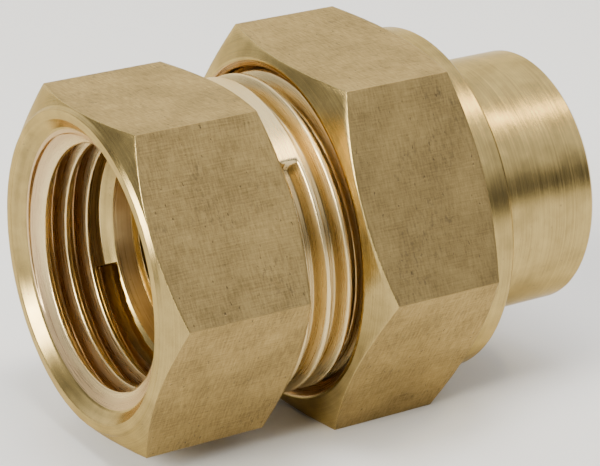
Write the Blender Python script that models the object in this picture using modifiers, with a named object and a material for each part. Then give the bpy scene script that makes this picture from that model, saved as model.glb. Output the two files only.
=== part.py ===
"""Brass pipe union: female threaded end, union nut and solder tail.

The pipe axis is X, with the threaded mouth at -X and the solder socket at +X.
Every piece is modelled standing on its own Z axis and laid over onto X.
The origin is the centre of the whole union.
"""
import math

import bmesh
import bpy
from mathutils import Matrix

MM = 0.001

# Driving dimensions, in millimetres.
TOTAL_LENGTH = 39.6
FEMALE_HEX_AF = 25.0
NUT_HEX_AF = 27.8
NUT_ROLL_DEG = 4.2
TUBE_OD = 18.0
TAIL_OD = 20.2
UNION_THREAD_OD = 24.6
PIPE_THREAD_MAJOR = 20.96
PIPE_THREAD_MINOR = 18.63
THREAD_PITCH = 1.814
SURFACE_GAP = 0.3

# Stations along the axis, in millimetres from the threaded mouth.
COUNTERSINK_END = 0.85
PIPE_THREAD_START = 1.45
PIPE_THREAD_END = 6.5
COUNTER_BORE_START = 7.25
BORE_STEP = 8.85
FEMALE_HEX_END = 12.1
NUT_START = 16.35
NOSE_START = 22.5
SPIGOT_END = 24.0
FLANGE_START = 25.0
FLANGE_END = 27.1
NUT_COLLAR_START = 27.55
NUT_END = 29.6

# Female end, as radii in millimetres.
FEMALE_LAND_RADIUS = 12.2
MOUTH_RADIUS = 11.55
COUNTERSINK_RADIUS = 10.72
COUNTER_BORE_RADIUS = 8.5
THROUGH_BORE_RADIUS = 7.5
SPIGOT_RADIUS = UNION_THREAD_OD / 2
SPIGOT_END_RADIUS = 11.45
UNION_ROOT_RADIUS = 11.25

# Union nut, as radii in millimetres.
NUT_LAND_RADIUS = 13.35
NUT_MOUTH_RADIUS = 13.1
NUT_MINOR_RADIUS = 11.6
NUT_MAJOR_RADIUS = 12.7
NUT_RELIEF_RADIUS = 12.8
NUT_COLLAR_RADIUS = 13.6

# Solder tail, as radii in millimetres.
TAIL_RADIUS = TAIL_OD / 2
FLANGE_RADIUS = 11.9
NOSE_RADIUS = 8.7
TAIL_BORE_RADIUS = 7.75
SOCKET_RADIUS = TUBE_OD / 2 + 0.05
SOLDER_DEPTH = 13.0

# Details: slopes, edge breaks and thread form, lengths in millimetres.
FRONT_CHAMFER_SLOPE = 0.48
REAR_CHAMFER_SLOPE = 0.45
FACE_BREAK = 0.3
EDGE_BREAK = 0.25
NUT_RELIEF_START = 24.3
THREAD_ROOT_WIDTH = 0.42
PIPE_ROOT_WIDTH = 0.3
FLANK_SLOPE = math.tan(math.radians(27.5))
CUTTER_MARGIN = 0.15

# Where the thread cuts stop in the female end: station of the groove's middle, and the
# angle about the piece's own axis.
UNION_GROOVE_STOP = 12.89
UNION_GROOVE_STOP_DEG = 225.0
PIPE_GROOVE_STOP = 6.35
PIPE_GROOVE_STOP_DEG = 67.5
UNION_GROOVE_TURNS = 6.875
PIPE_GROOVE_TURNS = 4.125
NUT_GROOVE_LEAD_TURNS = 1.25
NUT_GROOVE_TURNS = 5.5

SIDES = 48

BRASS_RAW = (0.63, 0.47, 0.25, 1.0)
BRASS_NUT = (0.66, 0.50, 0.27, 1.0)
BRASS_TURNED = (0.69, 0.53, 0.31, 1.0)


def clear_scene():
    """Remove the objects that a new file starts with."""
    for old_object in list(bpy.data.objects):
        bpy.data.objects.remove(old_object, do_unlink=True)


def new_collection(name):
    """Make a collection in the scene."""
    collection = bpy.data.collections.new(name)
    bpy.context.scene.collection.children.link(collection)
    return collection


def brass(name, colour, roughness):
    """Make a brass material."""
    material = bpy.data.materials.new(name)
    material.use_nodes = True
    shader = material.node_tree.nodes["Principled BSDF"]
    shader.inputs["Base Color"].default_value = colour
    shader.inputs["Metallic"].default_value = 1.0
    shader.inputs["Roughness"].default_value = roughness
    material.diffuse_color = colour
    return material


def add_object(name, mesh, collection):
    """Put a mesh in the scene, laid over so that its own Z runs along +X."""
    new_object = bpy.data.objects.new(name, mesh)
    new_object.rotation_euler = (0.0, math.pi / 2, 0.0)
    collection.objects.link(new_object)
    return new_object


def axial(station):
    """Turn a station from the mouth (mm) into a height on the piece's own Z (m)."""
    return (station - TOTAL_LENGTH / 2) * MM


def turned(name, profile, collection):
    """Turn a closed profile of (radius, station) points about the axis."""
    mesh = bpy.data.meshes.new(name)
    points = [(radius * MM, 0.0, axial(station)) for radius, station in profile]
    count = len(points)
    edges = [(i, (i + 1) % count) for i in range(count)]
    mesh.from_pydata(points, edges, [])
    new_object = add_object(name, mesh, collection)
    screw = new_object.modifiers.new("Turn", "SCREW")
    screw.axis = "Z"
    screw.steps = SIDES
    screw.render_steps = SIDES
    screw.use_merge_vertices = True
    screw.merge_threshold = 0.00001
    return new_object


def hex_bar(name, across_flats, roll_deg, collection):
    """Make a hexagonal bar, corners on Y before the roll, past both ends of the union."""
    bar = bmesh.new()
    corner_radius = across_flats / math.sqrt(3) * MM
    bmesh.ops.create_cone(bar, cap_ends=True, segments=6, radius1=corner_radius,
                          radius2=corner_radius, depth=2 * TOTAL_LENGTH * MM,
                          matrix=Matrix.Rotation(math.radians(roll_deg), 4, "Z"))
    mesh = bpy.data.meshes.new(name)
    bar.to_mesh(mesh)
    bar.free()
    return add_object(name, mesh, collection)


def groove_section(tip_radius, open_radius, tip_width):
    """Give a groove's corners as (radius, offset), narrow at the tip and wide where it opens."""
    half_tip = tip_width / 2
    half_open = half_tip + abs(open_radius - tip_radius) * FLANK_SLOPE
    return [(tip_radius, -half_tip), (open_radius, -half_open),
            (open_radius, half_open), (tip_radius, half_tip)]


def helical_cutter(name, section, start_station, start_deg, turns, collection):
    """Sweep a closed section up a right-hand helix of the thread's pitch."""
    cutter = bmesh.new()
    rings = []
    for i in range(round(turns * SIDES) + 1):
        angle = math.radians(start_deg) + 2 * math.pi * i / SIDES
        station = start_station + THREAD_PITCH * i / SIDES
        rings.append([cutter.verts.new((radius * MM * math.cos(angle),
                                        radius * MM * math.sin(angle),
                                        axial(station + offset)))
                      for radius, offset in section])
    for ring, following in zip(rings, rings[1:]):
        for i in range(len(section)):
            j = (i + 1) % len(section)
            cutter.faces.new((ring[i], ring[j], following[j], following[i]))
    cutter.faces.new(rings[0])
    cutter.faces.new(rings[-1])
    bmesh.ops.recalc_face_normals(cutter, faces=cutter.faces)
    mesh = bpy.data.meshes.new(name)
    cutter.to_mesh(mesh)
    cutter.free()
    return add_object(name, mesh, collection)


def combine(target, cutter, operation):
    """Add an exact Boolean of the cutter to the target, and hide the cutter."""
    boolean = target.modifiers.new(cutter.name, "BOOLEAN")
    boolean.object = cutter
    boolean.operation = operation
    boolean.solver = "EXACT"
    cutter.display_type = "WIRE"
    cutter.hide_render = True


def seat_radius(station):
    """Give the radius of the female end's conical seat, one gap outside the tail's nose."""
    return NOSE_RADIUS + (station - NOSE_START) + SURFACE_GAP * math.sqrt(2)


def build_female_end(parts, cutters):
    """Build the hexagonal end with the pipe thread inside and the union thread outside."""
    clear_radius = FEMALE_HEX_AF / math.sqrt(3) + 1
    break_radius = FEMALE_LAND_RADIUS + FACE_BREAK
    front_edge = FACE_BREAK + FRONT_CHAMFER_SLOPE * (clear_radius - break_radius)
    rear_edge = FEMALE_HEX_END - REAR_CHAMFER_SLOPE * (clear_radius - SPIGOT_RADIUS)
    spigot_chamfer = SPIGOT_RADIUS - SPIGOT_END_RADIUS
    minor_radius = PIPE_THREAD_MINOR / 2
    seat_end = seat_radius(SPIGOT_END)
    seat_start = SPIGOT_END - (seat_end - THROUGH_BORE_RADIUS)
    body = turned("female_threaded_end", [
        (SPIGOT_END_RADIUS, SPIGOT_END), (SPIGOT_RADIUS, SPIGOT_END - spigot_chamfer),
        (SPIGOT_RADIUS, FEMALE_HEX_END), (clear_radius, rear_edge),
        (clear_radius, front_edge), (break_radius, FACE_BREAK),
        (FEMALE_LAND_RADIUS, 0.0), (MOUTH_RADIUS, 0.0),
        (COUNTERSINK_RADIUS, COUNTERSINK_END),
        (minor_radius, PIPE_THREAD_START), (minor_radius, PIPE_THREAD_END),
        (COUNTER_BORE_RADIUS, COUNTER_BORE_START), (COUNTER_BORE_RADIUS, BORE_STEP),
        (THROUGH_BORE_RADIUS, BORE_STEP), (THROUGH_BORE_RADIUS, seat_start),
        (seat_end, SPIGOT_END)], parts)
    combine(body, hex_bar("female_hex_bar", FEMALE_HEX_AF, 0.0, cutters), "INTERSECT")
    union_section = groove_section(UNION_ROOT_RADIUS, SPIGOT_RADIUS + CUTTER_MARGIN,
                                   THREAD_ROOT_WIDTH)
    combine(body, helical_cutter("union_thread_cutter", union_section, UNION_GROOVE_STOP,
                                 UNION_GROOVE_STOP_DEG, UNION_GROOVE_TURNS, cutters),
            "DIFFERENCE")
    pipe_section = groove_section(PIPE_THREAD_MAJOR / 2, minor_radius - CUTTER_MARGIN,
                                  PIPE_ROOT_WIDTH)
    pipe_start = PIPE_GROOVE_STOP - PIPE_GROOVE_TURNS * THREAD_PITCH
    pipe_start_deg = PIPE_GROOVE_STOP_DEG - PIPE_GROOVE_TURNS * 360
    combine(body, helical_cutter("pipe_thread_cutter", pipe_section, pipe_start,
                                 pipe_start_deg, PIPE_GROOVE_TURNS, cutters), "DIFFERENCE")
    return body


def build_union_nut(parts, cutters):
    """Build the hexagonal nut, whose rear lip holds the tail's flange."""
    clear_radius = NUT_HEX_AF / math.sqrt(3) + 1
    front_edge = NUT_START + FRONT_CHAMFER_SLOPE * (clear_radius - NUT_LAND_RADIUS)
    rear_edge = NUT_COLLAR_START - REAR_CHAMFER_SLOPE * (clear_radius - NUT_COLLAR_RADIUS)
    mouth_end = NUT_START + NUT_MOUTH_RADIUS - NUT_MINOR_RADIUS
    lip_radius = TAIL_RADIUS + SURFACE_GAP
    lip_start = FLANGE_END + SURFACE_GAP
    nut = turned("union_nut", [
        (lip_radius + EDGE_BREAK, NUT_END), (NUT_COLLAR_RADIUS - EDGE_BREAK, NUT_END),
        (NUT_COLLAR_RADIUS, NUT_END - EDGE_BREAK), (NUT_COLLAR_RADIUS, NUT_COLLAR_START),
        (clear_radius, rear_edge), (clear_radius, front_edge),
        (NUT_LAND_RADIUS, NUT_START), (NUT_MOUTH_RADIUS, NUT_START),
        (NUT_MINOR_RADIUS, mouth_end), (NUT_MINOR_RADIUS, NUT_RELIEF_START),
        (NUT_RELIEF_RADIUS, NUT_RELIEF_START), (NUT_RELIEF_RADIUS, lip_start),
        (lip_radius, lip_start), (lip_radius, NUT_END - EDGE_BREAK)], parts)
    combine(nut, hex_bar("nut_hex_bar", NUT_HEX_AF, NUT_ROLL_DEG, cutters), "INTERSECT")
    section = groove_section(NUT_MAJOR_RADIUS, NUT_MINOR_RADIUS - CUTTER_MARGIN,
                             THREAD_ROOT_WIDTH)
    start = UNION_GROOVE_STOP + NUT_GROOVE_LEAD_TURNS * THREAD_PITCH
    start_deg = UNION_GROOVE_STOP_DEG + (NUT_GROOVE_LEAD_TURNS - 0.5) * 360
    combine(nut, helical_cutter("nut_thread_cutter", section, start, start_deg,
                                NUT_GROOVE_TURNS, cutters), "DIFFERENCE")
    return nut


def build_solder_tail(parts):
    """Build the tail: conical nose, captive flange and socket for a soldered tube."""
    socket_start = TOTAL_LENGTH - SOLDER_DEPTH
    nose_end_radius = NOSE_RADIUS + FLANGE_START - NOSE_START
    return turned("solder_tail", [
        (TAIL_RADIUS - EDGE_BREAK, TOTAL_LENGTH), (TAIL_RADIUS, TOTAL_LENGTH - EDGE_BREAK),
        (TAIL_RADIUS, FLANGE_END), (FLANGE_RADIUS, FLANGE_END),
        (FLANGE_RADIUS, FLANGE_START), (nose_end_radius, FLANGE_START),
        (NOSE_RADIUS, NOSE_START), (TAIL_BORE_RADIUS, NOSE_START),
        (TAIL_BORE_RADIUS, socket_start), (SOCKET_RADIUS, socket_start),
        (SOCKET_RADIUS, TOTAL_LENGTH)], parts)


def main():
    """Build the union."""
    clear_scene()
    parts = new_collection("pipe_union")
    cutters = new_collection("cutters")
    female_end = build_female_end(parts, cutters)
    female_end.data.materials.append(brass("brass_female_end", BRASS_RAW, 0.38))
    nut = build_union_nut(parts, cutters)
    nut.data.materials.append(brass("brass_nut", BRASS_NUT, 0.38))
    tail = build_solder_tail(parts)
    tail.data.materials.append(brass("brass_tail", BRASS_TURNED, 0.32))


main()
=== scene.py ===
"""Looks of the brass pipe union: fine threads, broken edges and machined brass."""
import math

import bmesh
import bpy
from mathutils import Matrix, Vector, noise

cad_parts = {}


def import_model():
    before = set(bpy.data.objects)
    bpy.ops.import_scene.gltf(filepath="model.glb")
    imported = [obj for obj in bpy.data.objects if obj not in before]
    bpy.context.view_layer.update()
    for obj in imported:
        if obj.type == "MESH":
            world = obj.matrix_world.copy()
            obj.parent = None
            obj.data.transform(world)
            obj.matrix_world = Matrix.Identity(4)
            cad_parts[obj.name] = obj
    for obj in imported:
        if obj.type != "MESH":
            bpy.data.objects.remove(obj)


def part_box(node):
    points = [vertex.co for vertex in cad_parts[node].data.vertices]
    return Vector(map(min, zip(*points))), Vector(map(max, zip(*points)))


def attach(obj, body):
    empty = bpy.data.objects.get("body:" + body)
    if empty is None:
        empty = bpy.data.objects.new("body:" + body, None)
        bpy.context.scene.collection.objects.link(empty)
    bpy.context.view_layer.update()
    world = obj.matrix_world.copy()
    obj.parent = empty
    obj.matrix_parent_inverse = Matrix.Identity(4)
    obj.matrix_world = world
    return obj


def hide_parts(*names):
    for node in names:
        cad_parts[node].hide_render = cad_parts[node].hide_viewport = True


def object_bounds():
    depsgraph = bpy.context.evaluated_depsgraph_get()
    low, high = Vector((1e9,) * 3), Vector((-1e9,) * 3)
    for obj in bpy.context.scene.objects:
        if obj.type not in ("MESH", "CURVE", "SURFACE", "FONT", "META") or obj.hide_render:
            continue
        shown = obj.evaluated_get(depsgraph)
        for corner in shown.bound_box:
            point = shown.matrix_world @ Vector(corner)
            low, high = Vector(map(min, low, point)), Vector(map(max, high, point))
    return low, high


MM = 0.001

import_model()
cad_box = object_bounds()


def node_box(name):
    """Give a CAD node's lowest and highest corners in millimetres."""
    low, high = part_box(name)
    return Vector(low) / MM, Vector(high) / MM


female_low, female_high = node_box("female_threaded_end")
nut_low, nut_high = node_box("union_nut")
tail_low, tail_high = node_box("solder_tail")

# Driving sizes, in millimetres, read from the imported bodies.
MOUTH_X = female_low.x
FEMALE_HEX_AF = female_high.z - female_low.z
SPIGOT_END = female_high.x - MOUTH_X
NUT_START = nut_low.x - MOUTH_X
NUT_END = nut_high.x - MOUTH_X
NUT_ROLL_DEG = 4.2
NUT_HEX_AF = (nut_high.y - nut_low.y) / math.cos(math.radians(NUT_ROLL_DEG)) * math.cos(math.radians(30))
NOSE_START = tail_low.x - MOUTH_X
TAIL_END = tail_high.x - MOUTH_X
FLANGE_RADIUS = tail_high.z

# Stations from the mouth and radii of the details inside those boxes, in millimetres.
THREAD_PITCH = 1.814
PIPE_MAJOR_RADIUS = 10.48
PIPE_MINOR_RADIUS = 9.315
COUNTERSINK_RADIUS = 10.72
COUNTERSINK_END = 0.85
PIPE_THREAD_START = 1.45
PIPE_THREAD_END = 6.5
COUNTER_BORE_START = 7.25
BORE_STEP = 8.85
FEMALE_HEX_END = 12.1
FEMALE_LAND_RADIUS = 12.2
MOUTH_RADIUS = 11.55
COUNTER_BORE_RADIUS = 8.5
THROUGH_BORE_RADIUS = 7.5
SPIGOT_RADIUS = 12.3
SPIGOT_END_RADIUS = 11.45
UNION_ROOT_RADIUS = 11.25
NUT_COLLAR_START = 27.55
NUT_LAND_RADIUS = 13.35
NUT_MOUTH_RADIUS = 13.1
NUT_MINOR_RADIUS = 11.6
NUT_MAJOR_RADIUS = 12.7
NUT_RELIEF_START = 24.3
NUT_RELIEF_RADIUS = 12.8
NUT_COLLAR_RADIUS = 13.6
FLANGE_START = 25.0
FLANGE_END = 27.1
TAIL_RADIUS = 10.1
NOSE_RADIUS = 8.7
TAIL_BORE_RADIUS = 7.75
SOCKET_RADIUS = 9.05
SOCKET_DEPTH = 13.0
SURFACE_GAP = 0.3

FRONT_CHAMFER_SLOPE = 0.48
REAR_CHAMFER_SLOPE = 0.45
FACE_BREAK = 0.3
TAIL_EDGE_BREAK = 0.25
FLANK_SLOPE = math.tan(math.radians(27.5))
UNION_TIP_WIDTH = 0.42
PIPE_TIP_WIDTH = 0.3

UNION_GROOVE_STOP = 12.89
UNION_GROOVE_STOP_DEG = 225.0
PIPE_GROOVE_STOP = 6.35
PIPE_GROOVE_STOP_DEG = 67.5
NUT_GROOVE_LAG_DEG = 180.0

# Turns of each thread's groove, counted from its stop: the first, and the one after the last.
PIPE_TURNS = (-5, 0)
UNION_TURNS = (0, 8)
NUT_TURNS = (0, 9)

# How fine the meshes are: steps round the axis, and millimetres between rows along it.
STEPS = 240
THREAD_ROW = 0.06
NUT_THREAD_ROW = 0.12
STOP_WIDTH_DEG = 0.5

# Small shapes, in millimetres: rounded hexagon corners, broken edges and gaps between rows.
CORNER_ROUND = 0.07
EDGE_BREAK = 0.035
FINE_BREAK = 0.03
THREAD_ROUND = 0.05
LAND_INSET = 0.04
ROW_END_GAP = 0.05

# Raggedness of the broken edges: strength, noise scales and the smallest factor it may give.
EDGE_CHATTER = 0.9
CHATTER_SCALE = 12
CHATTER_FINE_SCALE = 4.0
LEAST_CHATTER = 0.25
LONGEST_BREAK_SHARE = 0.3

# Where extra rings and rows stand, as shares of a corner's reach, a chamfer and a flat.
CORNER_SHARES = (-1.6, -1, -0.5, 0, 0.5, 1, 1.6)
CHAMFER_SHARES = (0.25, 0.5, 0.75)
FLAT_SHARES = (0.02, 0.2, 0.4, 0.6, 0.8, 0.98)

# Shading: the modifier's weight, and the most a normal may lean and still be straightened.
FLAT_WEIGHT = 90
MOST_LEAN = 0.2

# The finishes, in the order of the material indices.
FLAT, TURNED, EDGE, BORE, THREAD, SPIGOT = range(6)

# Brass colours.
FLAT_LIGHT = (0.49, 0.355, 0.145, 1.0)
FLAT_DARK = (0.19, 0.135, 0.06, 1.0)
SMUDGE = (0.10, 0.075, 0.05, 1.0)
PIT = (0.09, 0.065, 0.04, 1.0)
TURNED_LIGHT = (0.50, 0.37, 0.14, 1.0)
TURNED_DARK = (0.28, 0.205, 0.08, 1.0)
SPECK = (0.20, 0.14, 0.08, 1.0)
EDGE_LIGHT = (0.52, 0.39, 0.15, 1.0)
EDGE_DARK = (0.30, 0.22, 0.09, 1.0)
BORE_LIGHT = (0.46, 0.33, 0.15, 1.0)
BORE_DARK = (0.28, 0.19, 0.085, 1.0)
THREAD_CREST = (0.72, 0.56, 0.29, 1.0)
THREAD_LIGHT = (0.66, 0.48, 0.27, 1.0)
THREAD_DARK = (0.40, 0.27, 0.14, 1.0)
SPIGOT_LIGHT = (0.66, 0.50, 0.25, 1.0)
SPIGOT_DARK = (0.30, 0.22, 0.10, 1.0)
GRAZING_TINT = (1.0, 0.86, 0.60, 1.0)

# Studio: the floor, the lights and the camera. Directions are azimuth and elevation in
# degrees, with azimuth 0 on the -Y side and 90 at +X.
FLOOR_GREY = (0.85, 0.85, 0.85, 1.0)
FLOOR_ROUGHNESS = 0.9
FLOOR_HALF_WIDTH = 2.0
WHITE = (1.0, 1.0, 1.0)
GOLD = (1.0, 0.80, 0.44)
WARM = (1.0, 0.96, 0.84)
BASE_LEVEL = 0.13
# Azimuth, elevation, angle of the full core, angle where it ends, strength, colour.
SOFT_BOXES = (
    (150, 25, 35, 75, 1.6, WHITE),
    (66, 58, 2, 7, 24.0, GOLD),
    (42, 47, 12, 36, 1.35, WHITE),
    (-75, 28, 9, 18, 26.0, WARM),
    (-100, 10, 10, 40, 0.5, WHITE),
)
TOP_LIGHT_DIRECTION = (-20, 80)
TOP_LIGHT_DISTANCE = 0.25
TOP_LIGHT_SIZE = 0.1
TOP_LIGHT_POWER = 0.44
CAMERA_DIRECTION = (-31.06, 20.83)
CAMERA_ROLL_DEG = -0.75
CAMERA_DISTANCE = 0.2119
CAMERA_AIM = (-0.00076, 0.00008, -0.00085)
CAMERA_LENS = 165.0
CAMERA_SENSOR = 36.0
CAMERA_CLIP_START = 0.01


# Shapes ---------------------------------------------------------------------------------


def around(radius, angle, station):
    """Give the point at a radius (mm) and an angle about +X, with angle 0 at -Z."""
    return ((station + MOUTH_X) * MM, radius * MM * math.sin(angle),
            -radius * MM * math.cos(angle))


def hex_angles(roll_deg):
    """Give the corner angles of a hexagon with a corner on Y before the roll."""
    return [math.radians(30 + 60 * i + roll_deg) for i in range(6)]


def corner_reach(across_flats):
    """Give how far round a rounded corner reaches to each side, as an angle."""
    apothem = across_flats / 2
    centre = (apothem - CORNER_ROUND) / math.cos(math.pi / 6)
    return math.pi / 6 - math.atan2(centre * math.sin(math.pi / 6), apothem)


def hex_radius(angle, across_flats, roll_deg):
    """Give the hexagon's radius at an angle, with its corners slightly rounded."""
    apothem = across_flats / 2
    from_flat = (angle - math.radians(roll_deg) + math.pi / 6) % (math.pi / 3) - math.pi / 6
    from_corner = math.pi / 6 - abs(from_flat)
    if from_corner >= corner_reach(across_flats):
        return apothem / math.cos(from_flat)
    centre = (apothem - CORNER_ROUND) / math.cos(math.pi / 6)
    half_chord = math.sqrt(CORNER_ROUND ** 2 - (centre * math.sin(from_corner)) ** 2)
    return centre * math.cos(from_corner) + half_chord


def stop_angles(stop_deg):
    """Give the two close angles between which a thread's groove stops."""
    stop, half = math.radians(stop_deg), math.radians(STOP_WIDTH_DEG / 2)
    return [stop - half, stop + half]


def ring_angles(across_flats=None, roll_deg=0.0, stop_deg=None):
    """List the angles of the rings: even steps, with more at corners and at a thread stop."""
    special = []
    if across_flats:
        reach = corner_reach(across_flats)
        for corner in hex_angles(roll_deg):
            special += [corner + share * reach for share in CORNER_SHARES]
    if stop_deg is not None:
        special += stop_angles(stop_deg)
    step = 2 * math.pi / STEPS
    special = [angle % (2 * math.pi) for angle in special]
    even = [i * step for i in range(STEPS)]
    clear = [angle for angle in even
             if all(abs((angle - other + math.pi) % (2 * math.pi) - math.pi) > step / 3
                    for other in special)]
    return sorted(clear + special)


def chatter(angle, place):
    """Give a repeatable factor near 1 that makes an edge slightly ragged."""
    spot = Vector((math.cos(angle) * CHATTER_SCALE, math.sin(angle) * CHATTER_SCALE, place))
    ragged = noise.noise(spot) + noise.noise(spot * CHATTER_FINE_SCALE)
    return max(1 + EDGE_CHATTER * ragged, LEAST_CHATTER)


def break_corners(profile, angle):
    """Replace each corner (radius, station, finish, width) by a narrow edge."""
    points = []
    for i, (radius, station, finish, width) in enumerate(profile):
        if not width:
            points.append((radius, station, finish))
            continue
        here = Vector((radius, station))
        for j, kind in ((i - 1, EDGE if width == EDGE_BREAK else finish),
                        ((i + 1) % len(profile), finish)):
            other = Vector(profile[j][:2])
            length = (other - here).length
            step = min(width * chatter(angle, i), length * LONGEST_BREAK_SHARE)
            spot = here + (other - here) * (step / length)
            points.append((spot.x, spot.y, kind))
    return points


def revolved(name, angles, profile_at):
    """Join the closed profiles at every angle into one mesh with its finishes."""
    rings = [break_corners(profile_at(angle), angle) for angle in angles]
    count = len(rings[0])
    points = [around(radius, angle, station)
              for angle, ring in zip(angles, rings) for radius, station, _ in ring]
    faces, finishes_of = [], []
    for i, ring in enumerate(rings):
        following = (i + 1) % len(rings)
        for j in range(count):
            k = (j + 1) % count
            faces.append((i * count + j, i * count + k, following * count + k,
                          following * count + j))
            finishes_of.append(ring[j][2])
    mesh = bpy.data.meshes.new(name)
    mesh.from_pydata(points, [], faces)
    mesh.polygons.foreach_set("material_index", finishes_of)
    mesh.shade_smooth()
    new_object = bpy.data.objects.new(name, mesh)
    bpy.context.scene.collection.objects.link(new_object)
    weigh_normals(new_object)
    return new_object


def weigh_normals(target):
    """Let the large faces decide the shading, so that flats stay flat."""
    target.modifiers.new("Flats stay flat", "WEIGHTED_NORMAL").weight = FLAT_WEIGHT
    graph = bpy.context.evaluated_depsgraph_get()
    result = bpy.data.meshes.new_from_object(target.evaluated_get(graph), depsgraph=graph)
    target.modifiers.clear()
    target.data = result
    smooth_round_faces(result)


def smooth_round_faces(mesh):
    """Take the lean round the axis out of round faces' normals.

    Vertices with only turned faces also get normals weighted by squared face area; those of
    the bore keep the modifier's softer ones.
    """
    values = [0.0] * (3 * len(mesh.loops))
    mesh.corner_normals.foreach_get("vector", values)
    normals = [Vector(values[i:i + 3]) for i in range(0, len(values), 3)]
    sums = [Vector((0.0, 0.0, 0.0)) for _ in mesh.vertices]
    all_turned = [True] * len(mesh.vertices)
    for face in mesh.polygons:
        weight = (face.area / MM ** 2) ** 2
        for vertex in face.vertices:
            sums[vertex] += face.normal * weight
            if face.material_index != TURNED:
                all_turned[vertex] = False
    for face in mesh.polygons:
        if face.material_index not in (TURNED, BORE):
            continue
        for corner in face.loop_indices:
            vertex = mesh.loops[corner].vertex_index
            spot = mesh.vertices[vertex].co
            if all_turned[vertex] and sums[vertex].length > 0:
                normals[corner] = sums[vertex].normalized()
            round_way = Vector((0.0, -spot.z, spot.y)).normalized()
            lean = normals[corner].dot(round_way)
            if abs(lean) < MOST_LEAN:
                normals[corner] = (normals[corner] - round_way * lean).normalized()
    mesh.normals_split_custom_set(normals)


def rows(start, end, step):
    """List stations from start to end in even steps near the given one."""
    count = max(1, round(abs(end - start) / step))
    return [start + (end - start) * i / count for i in range(count + 1)]


def soft_min(first, second):
    """Give the smaller value, rounded over where the two cross."""
    blend = max(THREAD_ROUND - abs(first - second), 0.0) / THREAD_ROUND
    return min(first, second) - blend * blend * THREAD_ROUND / 4


def groove_depth(station, centres, depth, tip_width):
    """Give the depth of the nearest groove: full over its tip, then up a straight flank."""
    gap = min(abs(station - centre) for centre in centres)
    wall = depth - (gap - tip_width / 2) / FLANK_SLOPE
    return max(soft_min(depth, wall), 0.0)


def groove_centres(angle, stop, stop_deg, first, last):
    """List a right-hand groove's stations at an angle, whole turns from its stop."""
    turn = (math.degrees(angle) - stop_deg) / 360 % 1
    return [stop + THREAD_PITCH * (turn + i) for i in range(first, last)]


# Pieces ---------------------------------------------------------------------------------


def hex_outside(edge_radius, rear, front, land):
    """Give the profile from the rear chamfer's foot over a hex flat to the front land."""
    (rear_radius, rear_station), (front_radius, front_station) = rear, front
    rear_edge = rear_station - REAR_CHAMFER_SLOPE * (edge_radius - rear_radius)
    front_edge = front_station + FRONT_CHAMFER_SLOPE * (edge_radius - front_radius)
    chamfer = [(rear_radius + (edge_radius - rear_radius) * share,
                rear_station + (rear_edge - rear_station) * share, TURNED, 0)
               for share in CHAMFER_SHARES]
    profile = [(rear_radius, rear_station, TURNED, FINE_BREAK), *chamfer,
               (edge_radius, rear_edge, FLAT, EDGE_BREAK)]
    profile += [(edge_radius, rear_edge + (front_edge - rear_edge) * share, FLAT, 0)
                for share in FLAT_SHARES]
    profile.append((edge_radius, front_edge, TURNED, EDGE_BREAK))
    profile += [(edge_radius + (front_radius - edge_radius) * share,
                 front_edge + (front_station - front_edge) * share, TURNED, 0)
                for share in CHAMFER_SHARES]
    profile.append((front_radius, front_station, TURNED, FINE_BREAK))
    return profile + land


def pipe_thread(angle):
    """Give the bore's profile from the mouth's edge to the end of the pipe thread."""
    centres = groove_centres(angle, PIPE_GROOVE_STOP, PIPE_GROOVE_STOP_DEG, *PIPE_TURNS)
    profile = []
    for station in rows(0.0, COUNTER_BORE_START, THREAD_ROW):
        sink = MOUTH_RADIUS - (MOUTH_RADIUS - COUNTERSINK_RADIUS) * station / COUNTERSINK_END
        lead = COUNTERSINK_RADIUS - ((COUNTERSINK_RADIUS - PIPE_MINOR_RADIUS)
                                     * (station - COUNTERSINK_END)
                                     / (PIPE_THREAD_START - COUNTERSINK_END))
        cone = COUNTER_BORE_RADIUS + ((PIPE_MINOR_RADIUS - COUNTER_BORE_RADIUS)
                                      * (COUNTER_BORE_START - station)
                                      / (COUNTER_BORE_START - PIPE_THREAD_END))
        plain = max(min(sink, lead), min(PIPE_MINOR_RADIUS, cone))
        depth = PIPE_MAJOR_RADIUS - PIPE_MINOR_RADIUS
        cut = PIPE_MINOR_RADIUS + groove_depth(station, centres, depth, PIPE_TIP_WIDTH)
        if station >= COUNTERSINK_END and cut > PIPE_MINOR_RADIUS:
            plain = max(plain, cut)
        finish = THREAD if COUNTERSINK_END <= station <= PIPE_THREAD_END else TURNED
        profile.append((plain, station, finish, 0))
    return profile


def union_thread(angle):
    """Give the spigot's profile from its end to the hexagon's shoulder."""
    centres = groove_centres(angle, UNION_GROOVE_STOP, UNION_GROOVE_STOP_DEG, *UNION_TURNS)
    depth = SPIGOT_RADIUS - UNION_ROOT_RADIUS
    profile = []
    for station in rows(SPIGOT_END - ROW_END_GAP, FEMALE_HEX_END + ROW_END_GAP, THREAD_ROW):
        plain = min(SPIGOT_RADIUS, SPIGOT_END_RADIUS + SPIGOT_END - station)
        cut = SPIGOT_RADIUS - groove_depth(station, centres, depth, UNION_TIP_WIDTH)
        profile.append((min(plain, cut), station, SPIGOT, 0))
    return profile


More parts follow.
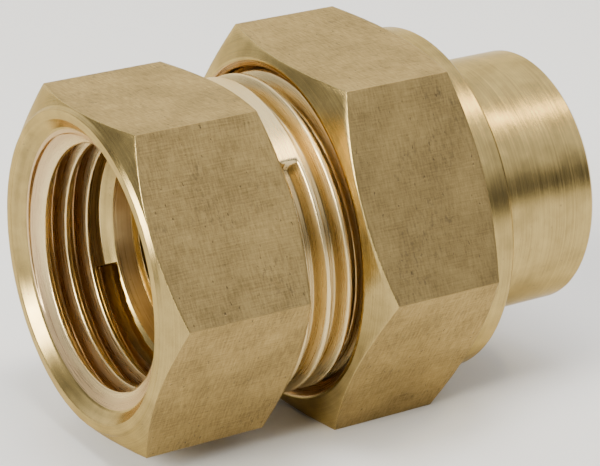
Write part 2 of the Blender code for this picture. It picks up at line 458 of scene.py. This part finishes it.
def female_end():
    """Build the hexagonal end with the pipe thread inside and the union thread outside."""
    seat_end = NOSE_RADIUS + SPIGOT_END - NOSE_START + SURFACE_GAP * math.sqrt(2)
    seat_start = SPIGOT_END - (seat_end - THROUGH_BORE_RADIUS)
    break_radius = FEMALE_HEX_AF / 2 - LAND_INSET

    def profile_at(angle):
        edge_radius = hex_radius(angle, FEMALE_HEX_AF, 0.0)
        land = [(FEMALE_LAND_RADIUS, 0.0, TURNED, FINE_BREAK)]
        outside = hex_outside(edge_radius, (SPIGOT_RADIUS, FEMALE_HEX_END),
                              (break_radius, FACE_BREAK), land)
        bore = [(COUNTER_BORE_RADIUS, BORE_STEP, TURNED, FINE_BREAK),
                (THROUGH_BORE_RADIUS, BORE_STEP, BORE, FINE_BREAK),
                (THROUGH_BORE_RADIUS, seat_start, TURNED, FINE_BREAK),
                (seat_end, SPIGOT_END, TURNED, FINE_BREAK),
                (min(SPIGOT_END_RADIUS, union_thread_end(angle)), SPIGOT_END, SPIGOT, 0)]
        inside = pipe_thread(angle)
        inside[-1] = (*inside[-1][:2], BORE, 0)
        return union_thread(angle) + outside + inside + bore

    angles = sorted(set(ring_angles(FEMALE_HEX_AF, 0.0, UNION_GROOVE_STOP_DEG)
                        + stop_angles(PIPE_GROOVE_STOP_DEG)))
    return revolved("female_end_brass", angles, profile_at)


def union_thread_end(angle):
    """Give the thread's radius at the spigot's very end."""
    centres = groove_centres(angle, UNION_GROOVE_STOP, UNION_GROOVE_STOP_DEG, *UNION_TURNS)
    depth = SPIGOT_RADIUS - UNION_ROOT_RADIUS
    return SPIGOT_RADIUS - groove_depth(SPIGOT_END, centres, depth, UNION_TIP_WIDTH)


def nut_thread(angle):
    """Give the nut's inside profile from its mouth to the relief behind the thread."""
    stop_deg = UNION_GROOVE_STOP_DEG - NUT_GROOVE_LAG_DEG
    centres = groove_centres(angle, UNION_GROOVE_STOP, stop_deg, *NUT_TURNS)
    depth = NUT_MAJOR_RADIUS - NUT_MINOR_RADIUS
    profile = []
    for station in rows(NUT_START, NUT_RELIEF_START, NUT_THREAD_ROW):
        plain = max(NUT_MINOR_RADIUS, NUT_MOUTH_RADIUS - (station - NUT_START))
        cut = NUT_MINOR_RADIUS + groove_depth(station, centres, depth, UNION_TIP_WIDTH)
        profile.append((max(plain, cut), station, THREAD, 0))
    return profile


def union_nut():
    """Build the hexagonal nut with its mouth, thread and round rear collar."""
    lip_radius = TAIL_RADIUS + SURFACE_GAP
    lip_start = FLANGE_END + SURFACE_GAP

    def profile_at(angle):
        edge_radius = hex_radius(angle, NUT_HEX_AF, NUT_ROLL_DEG)
        collar = [(lip_radius + TAIL_EDGE_BREAK, NUT_END, TURNED, FINE_BREAK),
                  (NUT_COLLAR_RADIUS - TAIL_EDGE_BREAK, NUT_END, TURNED, FINE_BREAK),
                  (NUT_COLLAR_RADIUS, NUT_END - TAIL_EDGE_BREAK, TURNED, FINE_BREAK)]
        outside = hex_outside(edge_radius, (NUT_COLLAR_RADIUS, NUT_COLLAR_START),
                              (NUT_LAND_RADIUS, NUT_START), [])
        relief = [(NUT_RELIEF_RADIUS, NUT_RELIEF_START, BORE, FINE_BREAK),
                  (NUT_RELIEF_RADIUS, lip_start, BORE, FINE_BREAK),
                  (lip_radius, lip_start, BORE, FINE_BREAK),
                  (lip_radius, NUT_END - TAIL_EDGE_BREAK, TURNED, FINE_BREAK)]
        return collar + outside + nut_thread(angle) + relief

    return revolved("nut_brass", ring_angles(NUT_HEX_AF, NUT_ROLL_DEG), profile_at)


def solder_tail():
    """Build the turned tail with its nose, captive flange and tube socket."""
    socket_start = TAIL_END - SOCKET_DEPTH
    nose_end = NOSE_RADIUS + FLANGE_START - NOSE_START

    def profile_at(_):
        return [(TAIL_RADIUS - TAIL_EDGE_BREAK, TAIL_END, TURNED, FINE_BREAK),
                (TAIL_RADIUS, TAIL_END - TAIL_EDGE_BREAK, TURNED, FINE_BREAK),
                (TAIL_RADIUS, FLANGE_END, TURNED, FINE_BREAK),
                (FLANGE_RADIUS, FLANGE_END, TURNED, FINE_BREAK),
                (FLANGE_RADIUS, FLANGE_START, TURNED, FINE_BREAK),
                (nose_end, FLANGE_START, TURNED, FINE_BREAK),
                (NOSE_RADIUS, NOSE_START, TURNED, FINE_BREAK),
                (TAIL_BORE_RADIUS, NOSE_START, BORE, FINE_BREAK),
                (TAIL_BORE_RADIUS, socket_start, BORE, FINE_BREAK),
                (SOCKET_RADIUS, socket_start, BORE, FINE_BREAK),
                (SOCKET_RADIUS, TAIL_END, TURNED, FINE_BREAK)]

    return revolved("tail_brass", ring_angles(), profile_at)


# Materials ------------------------------------------------------------------------------


class Nodes:
    """Short calls for building one material's nodes."""

    def __init__(self, name):
        self.material = bpy.data.materials.new(name)
        self.material.use_nodes = True
        self.tree = self.material.node_tree
        self.shader = self.tree.nodes["Principled BSDF"]

    def add(self, kind, **values):
        """Add a node and set its properties."""
        node = self.tree.nodes.new(kind)
        for key, value in values.items():
            setattr(node, key, value)
        return node

    def link(self, source, target):
        """Link an output to an input."""
        self.tree.links.new(source, target)

    def math(self, operation, first, second=None):
        """Add a math node; each value is a number or an output."""
        node = self.add("ShaderNodeMath", operation=operation)
        for slot, value in enumerate((first, second)):
            if value is None:
                continue
            if isinstance(value, (int, float)):
                node.inputs[slot].default_value = value
            else:
                self.link(value, node.inputs[slot])
        return node.outputs[0]

    def vector(self, x, y, z):
        """Combine three outputs or numbers."""
        node = self.add("ShaderNodeCombineXYZ")
        for slot, value in enumerate((x, y, z)):
            if isinstance(value, (int, float)):
                node.inputs[slot].default_value = value
            else:
                self.link(value, node.inputs[slot])
        return node.outputs[0]

    def noise(self, where, scale, detail=3.0, roughness=0.55):
        """Add a noise texture and return its value."""
        node = self.add("ShaderNodeTexNoise")
        node.inputs["Scale"].default_value = scale
        node.inputs["Detail"].default_value = detail
        node.inputs["Roughness"].default_value = roughness
        self.link(where, node.inputs["Vector"])
        return node.outputs["Fac"]

    def remap(self, value, low, high, new_low, new_high):
        """Map a value from one range to another, clamped."""
        node = self.add("ShaderNodeMapRange")
        self.link(value, node.inputs["Value"])
        for key, number in (("From Min", low), ("From Max", high),
                            ("To Min", new_low), ("To Max", new_high)):
            node.inputs[key].default_value = number
        return node.outputs["Result"]

    def blend(self, factor, first, second):
        """Mix two colours; each is a colour or an output."""
        node = self.add("ShaderNodeMix", data_type="RGBA")
        self.link(factor, node.inputs["Factor"])
        for socket, value in ((node.inputs[6], first), (node.inputs[7], second)):
            if isinstance(value, tuple):
                socket.default_value = value
            else:
                self.link(value, socket)
        return node.outputs[2]


def places(nodes):
    """Give the surface's place in millimetres: point, along, radius, angle, across a flat."""
    coordinates = nodes.add("ShaderNodeTexCoord")
    scale = nodes.add("ShaderNodeVectorMath", operation="SCALE")
    scale.inputs["Scale"].default_value = 1 / MM
    nodes.link(coordinates.outputs["Object"], scale.inputs[0])
    point = scale.outputs[0]
    split = nodes.add("ShaderNodeSeparateXYZ")
    nodes.link(point, split.inputs[0])
    x, y, z = split.outputs
    radius = nodes.math("SQRT", nodes.math("ADD", nodes.math("MULTIPLY", y, y),
                                           nodes.math("MULTIPLY", z, z)))
    angle = nodes.math("ARCTAN2", z, y)
    facing = nodes.add("ShaderNodeSeparateXYZ")
    nodes.link(coordinates.outputs["Normal"], facing.inputs[0])
    _, normal_y, normal_z = facing.outputs
    across = nodes.math("SUBTRACT", nodes.math("MULTIPLY", z, normal_y),
                        nodes.math("MULTIPLY", y, normal_z))
    return point, x, radius, angle, across


def bump(nodes, height, depth):
    """Feed a height into the shader's normal; depth is in millimetres."""
    node = nodes.add("ShaderNodeBump")
    node.inputs["Strength"].default_value = 1.0
    node.inputs["Distance"].default_value = depth * MM
    nodes.link(height, node.inputs["Height"])
    nodes.link(node.outputs["Normal"], nodes.shader.inputs["Normal"])


def radial_tangent(nodes):
    """Let the anisotropy run round the pipe axis."""
    tangent = nodes.add("ShaderNodeTangent", direction_type="RADIAL", axis="X")
    nodes.link(tangent.outputs[0], nodes.shader.inputs["Tangent"])


def set_metal(nodes, roughness, anisotropy):
    """Set the constants of bare brass."""
    nodes.shader.inputs["Metallic"].default_value = 1.0
    nodes.shader.inputs["Roughness"].default_value = roughness
    nodes.shader.inputs["Anisotropic"].default_value = anisotropy
    nodes.shader.inputs["Specular Tint"].default_value = GRAZING_TINT


def flat_brass(name):
    """Drawn hexagon bar: fine marks along and across the flats, pits and smudges."""
    nodes = Nodes(name)
    point, x, _, _, across = places(nodes)
    set_metal(nodes, 0.45, 0.0)
    along_marks = nodes.noise(nodes.vector(nodes.math("MULTIPLY", x, 0.5),
                                           nodes.math("MULTIPLY", across, 8.0), 0.0), 1.0, 4.0)
    cross_marks = nodes.noise(nodes.vector(nodes.math("MULTIPLY", x, 6.0),
                                           nodes.math("MULTIPLY", across, 0.9), 3.0), 1.0, 5.0)
    fine = nodes.noise(point, 9.0, 3.0, 0.6)
    cloud = nodes.noise(point, 0.3, 4.0)
    marks = nodes.math("ADD", nodes.math("MULTIPLY", along_marks, 0.35),
                       nodes.math("MULTIPLY", cross_marks, 0.45))
    marks = nodes.math("ADD", marks, nodes.math("MULTIPLY", fine, 0.2))
    tone = nodes.math("ADD", nodes.math("MULTIPLY", nodes.remap(marks, 0.36, 0.64, 0.0, 1.0), 0.65),
                      nodes.math("MULTIPLY", nodes.remap(cloud, 0.35, 0.65, 0.0, 1.0), 0.35))
    colour = nodes.blend(tone, FLAT_DARK, FLAT_LIGHT)
    zone = nodes.remap(nodes.noise(point, 0.22, 2.0), 0.50, 0.62, 0.0, 1.0)
    streak = nodes.noise(nodes.vector(nodes.math("MULTIPLY", x, 3.2),
                                      nodes.math("MULTIPLY", across, 1.3), 7.0), 1.0, 5.0, 0.65)
    smudge = nodes.math("MULTIPLY", nodes.remap(streak, 0.52, 0.72, 0.0, 0.75), zone)
    colour = nodes.blend(smudge, colour, SMUDGE)
    pits = nodes.noise(nodes.vector(nodes.math("MULTIPLY", x, 3.4),
                                    nodes.math("MULTIPLY", across, 1.8), 5.0), 1.0, 2.0, 0.4)
    pit_mask = nodes.remap(pits, 0.68, 0.76, 0.0, 0.85)
    colour = nodes.blend(pit_mask, colour, PIT)
    nodes.link(colour, nodes.shader.inputs["Base Color"])
    nodes.link(nodes.remap(marks, 0.35, 0.65, 0.52, 0.34), nodes.shader.inputs["Roughness"])
    height = nodes.math("SUBTRACT", marks, nodes.math("MULTIPLY", pit_mask, 0.8))
    bump(nodes, height, 0.03)
    return nodes.material


def turned_brass(name, light, dark, roughness, anisotropy, mark_depth):
    """Turned brass: marks that run round the axis, and soft stains."""
    nodes = Nodes(name)
    point, x, radius, angle, _ = places(nodes)
    set_metal(nodes, roughness, anisotropy)
    radial_tangent(nodes)
    pass_along = nodes.math("ADD", x, nodes.math("MULTIPLY", radius, 1.3))
    rings = nodes.noise(nodes.vector(nodes.math("MULTIPLY", pass_along, 9.0),
                                     nodes.math("MULTIPLY", nodes.math("COSINE", angle), 0.8),
                                     nodes.math("MULTIPLY", nodes.math("SINE", angle), 0.8)),
                        1.0, 5.0, 0.6)
    stain = nodes.noise(point, 0.5, 4.0)
    specks = nodes.noise(point, 3.4, 2.0, 0.4)
    speck_mask = nodes.remap(specks, 0.71, 0.76, 0.0, 0.7)
    tone = nodes.math("ADD", nodes.math("MULTIPLY", rings, 0.5), nodes.math("MULTIPLY", stain, 0.5))
    colour = nodes.blend(nodes.remap(tone, 0.35, 0.65, 0.0, 1.0), dark, light)
    colour = nodes.blend(speck_mask, colour, SPECK)
    nodes.link(colour, nodes.shader.inputs["Base Color"])
    rough = nodes.remap(rings, 0.3, 0.7, roughness * 0.85, roughness * 1.15)
    nodes.link(rough, nodes.shader.inputs["Roughness"])
    bump(nodes, rings, mark_depth)
    return nodes.material


def thread_brass(name, crest_radius, root_radius, stain_dark, stain_light):
    """Threads: pale worn crests and stained flanks and roots."""
    nodes = Nodes(name)
    point, x, radius, angle, _ = places(nodes)
    set_metal(nodes, 0.26, 0.4)
    radial_tangent(nodes)
    streaks = nodes.noise(nodes.vector(nodes.math("MULTIPLY", x, 9.0),
                                       nodes.math("MULTIPLY", radius, 7.0),
                                       nodes.math("MULTIPLY", nodes.math("COSINE", angle), 2.0)),
                          1.0, 5.0, 0.6)
    patches = nodes.noise(point, 0.45, 4.0)
    wear = nodes.remap(radius, root_radius, crest_radius, 0.0, 1.0)
    wear = nodes.math("ADD", wear, nodes.math("MULTIPLY", nodes.math("SUBTRACT", patches, 0.5), 0.5))
    brown = nodes.blend(streaks, stain_dark, stain_light)
    colour = nodes.blend(nodes.remap(wear, 0.35, 0.95, 0.0, 1.0), brown, THREAD_CREST)
    nodes.link(colour, nodes.shader.inputs["Base Color"])
    nodes.link(nodes.remap(streaks, 0.3, 0.7, 0.22, 0.36), nodes.shader.inputs["Roughness"])
    bump(nodes, streaks, 0.01)
    return nodes.material


def edge_brass(name):
    """Bright worn brass of the broken edges."""
    nodes = Nodes(name)
    point, _, _, _, _ = places(nodes)
    set_metal(nodes, 0.30, 0.0)
    grain = nodes.noise(point, 6.0, 3.0)
    colour = nodes.blend(grain, EDGE_DARK, EDGE_LIGHT)
    nodes.link(colour, nodes.shader.inputs["Base Color"])
    nodes.link(nodes.remap(grain, 0.3, 0.7, 0.18, 0.42), nodes.shader.inputs["Roughness"])
    bump(nodes, grain, 0.03)
    return nodes.material


def finishes(prefix, crest_radius, root_radius):
    """Make one piece's six finishes, in the order of the material indices."""
    return [
        flat_brass(prefix + "_flats"),
        turned_brass(prefix + "_turned", TURNED_LIGHT, TURNED_DARK, 0.22, 0.5, 0.008),
        edge_brass(prefix + "_edges"),
        turned_brass(prefix + "_bore", BORE_LIGHT, BORE_DARK, 0.30, 0.4, 0.010),
        thread_brass(prefix + "_thread", crest_radius, root_radius, THREAD_DARK, THREAD_LIGHT),
        thread_brass(prefix + "_spigot", SPIGOT_RADIUS, UNION_ROOT_RADIUS,
                     SPIGOT_DARK, SPIGOT_LIGHT),
    ]


# Studio ---------------------------------------------------------------------------------


def plain_material(name, colour, roughness):
    """Make a plain matt material for the studio."""
    nodes = Nodes(name)
    nodes.shader.inputs["Base Color"].default_value = colour
    nodes.shader.inputs["Roughness"].default_value = roughness
    return nodes.material


def floor():
    """Lay a pale floor under the union."""
    shape = bmesh.new()
    bmesh.ops.create_grid(shape, x_segments=1, y_segments=1, size=FLOOR_HALF_WIDTH)
    mesh = bpy.data.meshes.new("studio_floor")
    shape.to_mesh(mesh)
    shape.free()
    plane = bpy.data.objects.new("studio_floor", mesh)
    bpy.context.scene.collection.objects.link(plane)
    plane.location.z = cad_box[0][2]
    plane.data.materials.append(plain_material("floor_white", FLOOR_GREY, FLOOR_ROUGHNESS))


def towards(azimuth, elevation):
    """Give the direction at an azimuth (0 on the -Y side, 90 at +X) and an elevation."""
    azimuth, elevation = math.radians(azimuth), math.radians(elevation)
    return Vector((math.sin(azimuth) * math.cos(elevation),
                   -math.cos(azimuth) * math.cos(elevation), math.sin(elevation)))


def top_light():
    """Aim one square area light at the union from above."""
    light = bpy.data.lights.new("top_light", "AREA")
    light.shape = "SQUARE"
    light.size = TOP_LIGHT_SIZE
    light.energy = TOP_LIGHT_POWER
    lamp = bpy.data.objects.new("top_light", light)
    lamp.location = TOP_LIGHT_DISTANCE * towards(*TOP_LIGHT_DIRECTION)
    lamp.rotation_euler = (-lamp.location).to_track_quat("-Z", "Y").to_euler()
    bpy.context.scene.collection.objects.link(lamp)


def world():
    """Light the studio with an even level and soft boxes far away."""
    sky = bpy.data.worlds.new("studio")
    sky.use_nodes = True
    tree = sky.node_tree
    background = tree.nodes["Background"]
    background.inputs["Strength"].default_value = 1.0
    place = tree.nodes.new("ShaderNodeTexCoord").outputs["Generated"]
    total = None
    for azimuth, elevation, inner, outer, strength, colour in SOFT_BOXES:
        dot = tree.nodes.new("ShaderNodeVectorMath")
        dot.operation = "DOT_PRODUCT"
        dot.inputs[1].default_value = towards(azimuth, elevation)
        tree.links.new(place, dot.inputs[0])
        fade = tree.nodes.new("ShaderNodeMapRange")
        fade.interpolation_type = "SMOOTHSTEP"
        tree.links.new(dot.outputs["Value"], fade.inputs["Value"])
        fade.inputs["From Min"].default_value = math.cos(math.radians(outer))
        fade.inputs["From Max"].default_value = math.cos(math.radians(inner))
        fade.inputs["To Min"].default_value = 0.0
        fade.inputs["To Max"].default_value = strength
        tint = tree.nodes.new("ShaderNodeVectorMath")
        tint.operation = "SCALE"
        tint.inputs[0].default_value = colour
        tree.links.new(fade.outputs["Result"], tint.inputs["Scale"])
        add = tree.nodes.new("ShaderNodeVectorMath")
        add.operation = "ADD"
        tree.links.new(tint.outputs["Vector"], add.inputs[0])
        if total is None:
            add.inputs[1].default_value = (BASE_LEVEL, BASE_LEVEL, BASE_LEVEL)
        else:
            tree.links.new(total, add.inputs[1])
        total = add.outputs["Vector"]
    tree.links.new(total, background.inputs["Color"])
    bpy.context.scene.world = sky


def camera():
    """Stand the camera where the photograph was taken from."""
    backward = towards(*CAMERA_DIRECTION)
    lens = bpy.data.cameras.new("camera")
    lens.sensor_width = CAMERA_SENSOR
    lens.lens = CAMERA_LENS
    lens.clip_start = CAMERA_CLIP_START
    eye = bpy.data.objects.new("camera", lens)
    eye.location = Vector(CAMERA_AIM) + CAMERA_DISTANCE * backward
    facing = (-backward).to_track_quat("-Z", "Y").to_matrix()
    roll = Matrix.Rotation(math.radians(CAMERA_ROLL_DEG), 3, "Z")
    eye.rotation_euler = (facing @ roll).to_euler()
    bpy.context.scene.collection.objects.link(eye)
    bpy.context.scene.camera = eye


def dress(piece, node, body, materials):
    """Give a piece its finishes and put it in its CAD node's place."""
    for material in materials:
        piece.data.materials.append(material)
    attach(piece, body)
    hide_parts(node)


camera()
dress(female_end(), "female_threaded_end", "female_end",
      finishes("female", PIPE_MINOR_RADIUS, PIPE_MAJOR_RADIUS))
dress(union_nut(), "union_nut", "nut",
      finishes("nut", NUT_MINOR_RADIUS, NUT_MAJOR_RADIUS))
dress(solder_tail(), "solder_tail", "tail",
      finishes("tail", TAIL_BORE_RADIUS, SOCKET_RADIUS))
floor()
world()
top_light()
